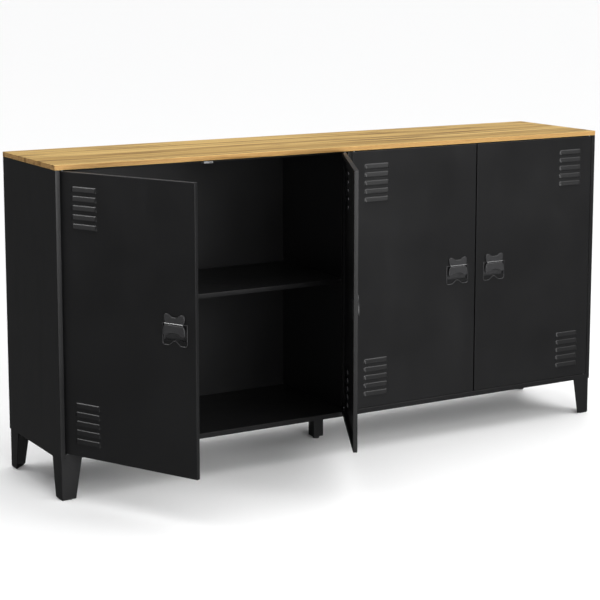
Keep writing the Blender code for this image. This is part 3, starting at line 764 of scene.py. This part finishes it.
# Centre post: a square tube welded to a small plate, under the middle of the tray. A plastic plug
# closes its end, and a round glide on a threaded stem screws into the plug to meet the floor.
POST_CORNER = 0.0030
PLUG_BORE = 0.0043
post_low, post_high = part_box("centre_leg")
post_half = (post_high[1] - post_low[1]) / 2
post_ring = bmesh.new()
bmesh.ops.create_grid(
    post_ring, x_segments=1, y_segments=1, size=post_half, matrix=Matrix.Translation((0, 0, post_low[2]))
)
bmesh.ops.bevel(
    post_ring, geom=post_ring.verts[:], offset=POST_CORNER, segments=4, profile=0.5, affect="VERTICES",
    material=-1,
)
bmesh.ops.delete(post_ring, geom=post_ring.faces[:], context="FACES_ONLY")
pull_edges(post_ring, post_ring.edges[:], (0, 0, post_high[2] - LEG_SHEET - post_low[2]))
bmesh.ops.recalc_face_normals(post_ring, faces=post_ring.faces)
post_ring.normal_update()
face_away(post_ring, (0, 0, 0.06))
steel_piece("centre_post", post_ring, LEG_SHEET, "centre_leg")

plate = flat_sheet((post_low[0], post_low[1], post_high[2] - LEG_SHEET), post_high, edge=0.0004)
fit_piece("centre_post_plate", plate, case_coat, "body", [])


def moulded_plastic(name, colour, roughness, grain=0.5, reflectance=0.3):
    """Injection-moulded plastic with a fine spark-eroded texture and a faint variation in gloss."""
    finish, tree, shader = new_finish(name)
    place = add_node(tree, "ShaderNodeTexCoord").outputs["Object"]
    fine = speckle(tree, place, 1500, 2, 0.6)
    cloud = speckle(tree, place, 60, 2, 0.5)
    lighter = tuple(1.5 * value for value in colour)
    worn = sum_up(tree, "MULTIPLY", edge_wear_and_highlight(tree, 0.0008, 0.4), 0.6)
    feed(
        tree, shader, Base_Color=blend_colours(tree, worn, (*colour, 1), (*lighter, 1)),
        Roughness=sum_up(tree, "ADD", between(tree, cloud, 0.3, 0.7, -0.04, 0.04), roughness),
        Normal=bumped(tree, grain, 0.00006, fine),
    )
    shader.inputs["Specular IOR Level"].default_value = reflectance
    return finish


glide_plastic = moulded_plastic("glide_plastic", (0.016, 0.016, 0.017), 0.42)
plug_low, plug_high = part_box("centre_leg_plug")
plug_half = plug_high[0]
plug = bmesh.new()
bmesh.ops.create_circle(plug, segments=32, radius=PLUG_BORE, matrix=Matrix.Translation((0, 0, plug_low[2])))
for vert in verts_of(pull_edges(plug, plug.edges[:])):
    largest = max(abs(vert.co.x), abs(vert.co.y))
    vert.co.x *= plug_half / largest
    vert.co.y *= plug_half / largest
push(plug, plug.faces[:], (0, 0, plug_high[2] - plug_low[2]))
bmesh.ops.recalc_face_normals(plug, faces=plug.faces)
fit_piece("post_end_plug", plug, glide_plastic, "body", ["centre_leg_plug"], smooth=35)

glide_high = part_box("centre_glide")[1]
glide_radius = glide_high[0]
GLIDE_DISC = 0.005
STEM_RADIUS = 0.004
THREAD_PITCH = 0.00125
glide_profile = [
    (0, 0.0004), (0.003, 0.0004), (0.0036, 0), (glide_radius - 0.0012, 0), (glide_radius - 0.0003, 0.0004),
    (glide_radius, 0.0012), (glide_radius, GLIDE_DISC - 0.0016), (glide_radius - 0.0006, GLIDE_DISC - 0.0008),
    (glide_radius - 0.0022, GLIDE_DISC), (STEM_RADIUS, GLIDE_DISC),
]
turn_height = GLIDE_DISC + 0.0004
while turn_height + THREAD_PITCH < glide_high[2] - 0.001:
    glide_profile.append((STEM_RADIUS - 0.0004, turn_height))
    glide_profile.append((STEM_RADIUS - 0.0001, turn_height + THREAD_PITCH / 2))
    turn_height += THREAD_PITCH
glide_profile += [
    (STEM_RADIUS - 0.0004, turn_height), (STEM_RADIUS - 0.001, glide_high[2]), (0, glide_high[2]),
]
fit_piece(
    "levelling_glide", turned_shape(glide_profile, (0, 0), sides=40), glide_plastic, "glide",
    ["centre_glide"], smooth=40,
)


# Shelves: one in each bay, a sheet with a stiffening hem folded down along its front and back. It
# lies loose on four zinc-plated angle clips, two at each end, hooked into the uprights.
SHELF_BEND = 0.0018
CLIP_BEND = 0.0012
for name in ("left", "right"):
    low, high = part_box(f"shelf_{name}")
    shelf = folded_strip(
        [(low[1], low[2]), (low[1], high[2]), (high[1], high[2]), (high[1], low[2])],
        "X", low[0], high[0], (0, 0, 0), radius=SHELF_BEND,
    )
    steel_piece(f"shelf_sheet_{name}", shelf, SHEET, f"shelf_{name}")
    for place in ("outer", "inner"):
        for end in ("front", "rear"):
            node = f"shelf_clip_{name}_{place}_{end}"
            clip_low, clip_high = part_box(node)
            wall_at, free_at = clip_low[0], clip_high[0]
            if (name == "left") == (place == "inner"):
                wall_at, free_at = free_at, wall_at
            clip = folded_strip(
                [(wall_at, clip_low[2]), (wall_at, clip_high[2]), (free_at, clip_high[2])],
                "Y", clip_low[1], clip_high[1], (free_at, (clip_low[1] + clip_high[1]) / 2, clip_low[2]),
                radius=CLIP_BEND,
            )
            clip_piece = fit_piece(f"{node}_angle", clip, zinc, "body", [node])
            give_thickness(clip_piece, SHEET)


# Doors: four alike, each a shallow pan folded from 1 mm sheet with a lip round its back. Two sets of
# five louvres are pressed outwards beside the hinge edge, flush at the top and ends and open below.
DOOR_THICK = 0.0105
DOOR_LIP = 0.010
DOOR_BEND = 0.0010
PIN_FROM_EDGE = 0.006
PIN_FROM_FACE = 0.0035
LOUVRES = 5
LOUVRE_LONG = 0.075
LOUVRE_TALL = 0.0135
LOUVRE_PROUD = 0.0039
LOUVRE_PITCH = 0.0215
LOUVRE_FROM_HINGE = 0.036
LOUVRE_FROM_TOP = 0.0393
LOUVRE_FROM_BOTTOM = 0.0367
LOUVRE_CORNER = 0.0055
LOUVRE_SLIT = 0.0002
HOOD_RISE = (
    (0.0, 0.0), (0.025, 0.06), (0.06, 0.19), (0.11, 0.34), (0.16, 0.42), (0.24, 0.49), (0.40, 0.60),
    (0.60, 0.74), (0.80, 0.88), (1.0, 1.0),
)
HOOD_END = ((0.0, 0.0), (0.0008, 0.12), (0.0018, 0.40), (0.0030, 0.70), (0.0045, 0.90), (0.0065, 1.0))
HANDLE_FROM_EDGE = 0.058
HANDLE_Z = 0.450
CUTOUT_HALF = 0.0323
CUTOUT_LOW = -0.0228
CUTOUT_HIGH = 0.0123
door_low, door_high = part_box("door_3")
DOOR_WIDE = door_high[0] - door_low[0]
DOOR_BOTTOM, DOOR_TOP = door_low[2], door_high[2]


def louvre_tops():
    """The height of each louvre's upper edge."""
    steps = [number * LOUVRE_PITCH for number in range(LOUVRES)]
    middles = [DOOR_TOP - LOUVRE_FROM_TOP - step for step in steps]
    middles += [DOOR_BOTTOM + LOUVRE_FROM_BOTTOM + step for step in steps]
    return [middle + LOUVRE_TALL / 2 for middle in middles]


def ramp(points, value):
    """The value read off a line through (input, output) points."""
    for (a, first), (b, second) in zip(points, points[1:]):
        if value <= b:
            return first + (second - first) * max(0.0, value - a) / (b - a)
    return points[-1][1]


def rule_lines(bm, axis, values):
    """Cuts the sheet along lines at these distances, so that it can be pressed there."""
    normal = (1, 0, 0) if axis == "X" else (0, 0, 1)
    for value in values:
        point = (value, 0, 0) if axis == "X" else (0, 0, value)
        bmesh.ops.bisect_plane(
            bm, geom=bm.verts[:] + bm.edges[:] + bm.faces[:], plane_co=point, plane_no=normal, dist=1e-7
        )


def door_skin():
    """The outer skin of a door pan: hinge edge at x = 0, free edge at x = DOOR_WIDE, face at y = 0."""
    bm = bmesh.new()
    corners = ((0, DOOR_BOTTOM), (DOOR_WIDE, DOOR_BOTTOM), (DOOR_WIDE, DOOR_TOP), (0, DOOR_TOP))
    bm.faces.new([bm.verts.new((x, 0, z)) for x, z in corners])
    start, stop = LOUVRE_FROM_HINGE, LOUVRE_FROM_HINGE + LOUVRE_LONG
    handle_x = DOOR_WIDE - HANDLE_FROM_EDGE
    across = [start + reach for reach, _ in HOOD_END] + [stop - reach for reach, _ in HOOD_END]
    rule_lines(bm, "X", across + [handle_x - CUTOUT_HALF, handle_x + CUTOUT_HALF])
    tops = louvre_tops()
    for top in tops:
        rule_lines(bm, "Z", [top - share * LOUVRE_TALL for share, _ in HOOD_RISE])
        rule_lines(bm, "Z", [top - LOUVRE_TALL - LOUVRE_SLIT])
    rule_lines(bm, "Z", [HANDLE_Z + CUTOUT_LOW, HANDLE_Z + CUTOUT_HIGH])

    tiny = 1e-5
    for vert in bm.verts:
        if not start - tiny < vert.co.x < stop + tiny:
            continue
        for top in tops:
            if top - LOUVRE_TALL - tiny < vert.co.z < top + tiny:
                share = (top - vert.co.z) / LOUVRE_TALL
                from_end = max(0.0, min(vert.co.x - start, stop - vert.co.x))
                vert.co.y = -LOUVRE_PROUD * ramp(HOOD_RISE, share) * ramp(HOOD_END, from_end)
                inwards = max(0.0, LOUVRE_CORNER - from_end)
                corner_drop = LOUVRE_CORNER - sqrt(LOUVRE_CORNER ** 2 - inwards ** 2)
                vert.co.z -= corner_drop * (1 - share)
                break
    mouths, window = [], []
    for face in bm.faces:
        middle = face.calc_center_median()
        below = [top - LOUVRE_TALL - middle.z for top in tops]
        if start < middle.x < stop and any(0 < gap < LOUVRE_SLIT for gap in below):
            mouths.append(face)
        if abs(middle.x - handle_x) < CUTOUT_HALF and CUTOUT_LOW < middle.z - HANDLE_Z < CUTOUT_HIGH:
            window.append(face)
    bmesh.ops.delete(bm, geom=mouths + window, context="FACES")

    def on_rim(vert):
        x, z = vert.co.x, vert.co.z
        return min(x, DOOR_WIDE - x, z - DOOR_BOTTOM, DOOR_TOP - z) < tiny

    rim = [edge for edge in bm.edges if len(edge.link_faces) == 1 and all(map(on_rim, edge.verts))]
    wall = pull_edges(bm, rim, (0, DOOR_THICK, 0))
    wall_edges = [
        item for item in wall
        if isinstance(item, bmesh.types.BMEdge) and all(v.co.y > DOOR_THICK / 2 for v in item.verts)
    ]
    for vert in verts_of(pull_edges(bm, wall_edges)):
        vert.co.x = min(max(vert.co.x, DOOR_LIP), DOOR_WIDE - DOOR_LIP)
        vert.co.z = min(max(vert.co.z, DOOR_BOTTOM + DOOR_LIP), DOOR_TOP - DOOR_LIP)
    bmesh.ops.recalc_face_normals(bm, faces=bm.faces)
    bm.normal_update()
    face_away(bm, (DOOR_WIDE / 2, DOOR_THICK / 2, MID_HEIGHT))

    def near_louvres(vert):
        beside = start - 0.01 < vert.co.x < stop + 0.01
        return beside and DOOR_BOTTOM + 0.02 < vert.co.z < DOOR_TOP - 0.02

    folds = [edge for edge in creases(bm, over=60) if not near_louvres(edge.verts[0])]
    fold_edges(bm, folds, DOOR_BEND)
    return bm


door_pattern = bpy.data.meshes.new("door_pattern")
pattern_build = door_skin()
pattern_build.to_mesh(door_pattern)
pattern_build.free()

hinges = {joint["name"]: joint for joint in frame["joints"]}
DOORS = (1, 2, 3, 4)


def hang(bm, number):
    """Carries a shape from the door's own flat frame to where that door hangs, at its rest angle."""
    hinge = hinges[f"door_{number}_hinge"]
    swing, closed_at = hinge["axis"][2], hinge["range_deg"][0]
    to_pin = Matrix.Translation((-PIN_FROM_EDGE, -PIN_FROM_FACE, 0))
    handed = Matrix.Diagonal((-swing, 1, 1, 1))
    turned = Matrix.Rotation(-swing * radians(closed_at), 4, "Z")
    carried = Matrix.Translation((*hinge["pos_m"][:2], 0))
    bmesh.ops.transform(bm, matrix=carried @ turned @ handed @ to_pin, verts=bm.verts)
    if swing > 0:
        bmesh.ops.reverse_faces(bm, faces=bm.faces)


for number in DOORS:
    pan = bmesh.new()
    pan.from_mesh(door_pattern)
    hang(pan, number)
    steel_piece(f"door_pan_{number}", pan, THIN_SHEET, f"door_{number}", body=f"door_{number}_leaf")


# Handles: one black moulding in each door, clipped into a window in the pan. A recessed cup with a
# thin rim takes the fingertips, and an hourglass grip stands over the cup's upper part.
CUP_WIDE = 0.070
CUP_TOP = 0.015
CUP_BOTTOM = -0.036
CUP_PEAK = -0.0255
CUP_DEEP = 0.0072
CUP_WALL = 0.0011
CUP_DRAFT = 0.05
CUP_NARROWS_TO = CUP_TOP - 0.012
RIM_PROUD = 0.0016
RIM_WIDE = 0.0017
GRIP_PROUD = 0.0058
RIDGE_PROUD = 0.0065
GRIP_THICK = 0.0030
PLATE_PROUD = 0.0042
GRIP_EASE = 0.0012
GRIP_BEHIND = 0.0003
BRIDGE_HALF = 0.0236
WAIST_HALF = 0.0250
RIDGE_HALF = 0.0256
RIDGE_SECTION = (
    (-0.0030, CUP_TOP + 0.0014), (-0.0050, CUP_TOP + 0.0012), (-0.0060, CUP_TOP + 0.0005),
    (-RIDGE_PROUD, CUP_TOP - 0.0003), (-RIDGE_PROUD, CUP_TOP - 0.0010), (-0.0030, CUP_TOP - 0.0012),
)
handle_plastic = moulded_plastic("handle_plastic", (0.022, 0.022, 0.023), 0.36, reflectance=0.42)
# The ridge is the same plastic, given a lighter and glossier copy; its lighter colour is a painted highlight.
ridge_painted_highlight = moulded_plastic("handle_ridge_painted_highlight", (0.030, 0.030, 0.031), 0.22, 0.2, reflectance=0.80)


def arc(centre, radius, first, last, count):
    """Points on a circle, from one angle to another, in degrees."""
    angles = [radians(first + (last - first) * step / count) for step in range(count + 1)]
    return [(centre[0] + radius * cos(angle), centre[1] + radius * sin(angle)) for angle in angles]


def both_halves(right):
    """A closed outline from its right half, which starts and ends on the middle line."""
    return right + [(-x, z) for x, z in reversed(right) if x > 1e-9]


def cup_rim():
    """Straight sides, round lower corners and a soft peak in the middle of the lower edge."""
    half, radius = CUP_WIDE / 2, 0.0065
    right = [(0, CUP_TOP), (half, CUP_TOP)]
    right += arc((half - radius, CUP_BOTTOM + radius), radius, 0, -90, 6)
    right += [
        (0.0175, CUP_BOTTOM), (0.0145, CUP_BOTTOM + 0.0012), (0.0045, CUP_PEAK - 0.0016),
        (0.0018, CUP_PEAK - 0.0003), (0, CUP_PEAK),
    ]
    return both_halves(right)


def grip_plate(upper):
    """Half of the hourglass: a soft scoop between two round ears, and a waist."""
    if upper:
        right = [(0, 0.0292), (0.0055, 0.0295), (0.0095, 0.0309), (0.0130, 0.0333), (0.0165, 0.0355)]
        right += arc((0.0224, 0.0304), 0.0060, 105, 0, 6)
        right += [(0.0283, 0.0262), (0.0276, 0.0222), (0.0262, 0.0182), (WAIST_HALF, CUP_TOP), (0, CUP_TOP)]
    else:
        top = CUP_TOP - 0.0036
        right = [(0, top), (WAIST_HALF, top), (0.0270, 0.0090), (0.0286, 0.0062), (0.0297, 0.0020)]
        right += [(0.0300, -0.0040)] + arc((0.0250, -0.0080), 0.0050, 0, -115, 6)
        right += [(0.0180, -0.0108), (0.0130, -0.0078), (0.0070, -0.0059), (0, -0.0054)]
    return both_halves(right)


def plate_from(outline, start, end, axis="Y"):
    """A flat outline pushed along an axis, from one plane to another."""
    bm, verts, place = start_profile(outline, axis, start)
    push(bm, [bm.faces.new(verts)], place((0, 0), end - start))
    bmesh.ops.recalc_face_normals(bm, faces=bm.faces)
    return bm


def soften_front(bm, front, radius):
    """Rounds the edges round the front face of a plate."""
    edges = [edge for edge in bm.edges if all(abs(v.co.y - front) < 1e-6 for v in edge.verts)]
    fold_edges(bm, edges, radius)


def cup_shape():
    """The rim and the cup behind it as one skin, up the rim's outside, over it and into the cup."""
    bm = bmesh.new()
    base = bm.faces.new([bm.verts.new((x, -0.0002, z)) for x, z in cup_rim()])
    bmesh.ops.recalc_face_normals(bm, faces=[base])
    push(bm, [base], (0, 0.0002 - RIM_PROUD, 0))
    hidden = max(bm.faces, key=lambda face: face.calc_center_median().y)
    bmesh.ops.delete(bm, geom=[hidden], context="FACES")
    bmesh.ops.recalc_face_normals(bm, faces=bm.faces)
    front = min(bm.faces, key=lambda face: face.calc_center_median().y)
    bmesh.ops.inset_region(bm, faces=[front], thickness=RIM_WIDE, use_even_offset=True)
    front = max(bm.faces, key=lambda face: len(face.verts))
    floor_verts = push(bm, [front], (0, RIM_PROUD + CUP_DEEP - CUP_WALL, 0))
    bmesh.ops.delete(bm, geom=[front], context="FACES_ONLY")
    for vert in floor_verts:
        vert.co.x *= 1 - CUP_DRAFT
        vert.co.z += CUP_DRAFT * (CUP_NARROWS_TO - vert.co.z)
    bm.normal_update()
    face_away(bm, (0, 0.02, CUP_TOP / 2))
    crown = [edge for edge in bm.edges if all(abs(v.co.y + RIM_PROUD) < 1e-6 for v in edge.verts)]
    crown = [edge for edge in crown if len(edge.link_faces) == 2 and edge.calc_face_angle() > radians(40)]
    fold_edges(bm, crown, 0.0005, 2)
    bmesh.ops.solidify(bm, geom=bm.faces[:], thickness=CUP_WALL)
    return bm


def merge_into(target, source):
    """Adds one shape's faces to another and frees the one added."""
    carried = bpy.data.meshes.new("carried")
    source.to_mesh(carried)
    source.free()
    target.from_mesh(carried)
    bpy.data.meshes.remove(carried)


def handle_shape():
    moulding = cup_shape()
    upper = plate_from(grip_plate(True), -PLATE_PROUD, -GRIP_BEHIND)
    soften_front(upper, -PLATE_PROUD, GRIP_EASE)
    lower = plate_from(grip_plate(False), -GRIP_PROUD, GRIP_THICK - GRIP_PROUD)
    soften_front(lower, -GRIP_PROUD, GRIP_EASE)
    bridge = flat_sheet(
        (-BRIDGE_HALF, -GRIP_PROUD + GRIP_EASE, CUP_TOP - 0.0062),
        (BRIDGE_HALF, -GRIP_BEHIND, CUP_TOP + 0.0005), edge=0.0004,
    )
    ridge = plate_from(RIDGE_SECTION, -RIDGE_HALF, RIDGE_HALF, "X")
    # The ridge takes the second material, the lighter copy of the plastic that paints its highlight.
    for face in ridge.faces:
        face.material_index = 1
    for shape in (upper, lower, ridge, bridge):
        merge_into(moulding, shape)
    bmesh.ops.translate(moulding, verts=moulding.verts, vec=(DOOR_WIDE - HANDLE_FROM_EDGE, 0, HANDLE_Z))
    return moulding


handle_pattern = bpy.data.meshes.new("handle_pattern")
handle_build = handle_shape()
handle_build.to_mesh(handle_pattern)
handle_build.free()
for number in DOORS:
    moulding = bmesh.new()
    moulding.from_mesh(handle_pattern)
    hang(moulding, number)
    moulding_piece = fit_piece(
        f"handle_moulding_{number}", moulding, handle_plastic, f"door_{number}_leaf",
        [f"handle_{number}"], smooth=40,
    )
    # The second material is the lighter copy of the plastic that paints the ridge's highlight.
    moulding_piece.data.materials.append(ridge_painted_highlight)
    even_shading(moulding_piece)


# Hinge pins: a plain zinc-plated pin stands up from the tray, and another hangs from the top panel,
# at each door. They pass through holes in the door's folded edges.
PIN_EASE = 0.0005
for number in DOORS:
    for end in ("lower", "upper"):
        node = f"hinge_pin_{number}_{end}"
        low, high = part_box(node)
        centre = ((low[0] + high[0]) / 2, (low[1] + high[1]) / 2)
        radius = (high[0] - low[0]) / 2
        profile = [
            (0, low[2]), (radius - PIN_EASE, low[2]), (radius, low[2] + PIN_EASE),
            (radius, high[2] - PIN_EASE), (radius - PIN_EASE, high[2]), (0, high[2]),
        ]
        pin = turned_shape(profile, centre, sides=20)
        fit_piece(f"{node}_rod", pin, zinc, "body", [node], smooth=35)


# Magnetic catches: a grey plastic block under the top panel in the middle of each bay, with two steel
# pole plates facing the doors. It holds both doors of the bay shut.
POLE_INSET = 0.0030
POLE_PROUD = 0.0003
POLE_THICK = 0.0012
POLE_HEIGHTS = (0.0013, 0.0040)
catch_plastic = moulded_plastic("catch_plastic", (0.20, 0.20, 0.20), 0.45)
pole_steel = zinc_finish("pole_steel", (0.34, 0.34, 0.35), 0.42)
for name in ("left", "right"):
    low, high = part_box(f"magnetic_catch_{name}")
    block = flat_sheet(low, high, edge=0.0008)
    fit_piece(
        f"catch_block_{name}", block, catch_plastic, "body", [f"magnetic_catch_{name}"],
        smooth=35,
    )
    poles = bmesh.new()
    for height in POLE_HEIGHTS:
        front = Vector((low[0] + POLE_INSET, low[1] - POLE_PROUD, low[2] + height))
        back = Vector((high[0] - POLE_INSET, low[1] + POLE_INSET, low[2] + height + POLE_THICK))
        merge_into(poles, flat_sheet(front, back))
    fit_piece(f"catch_poles_{name}", poles, pole_steel, "body", [])
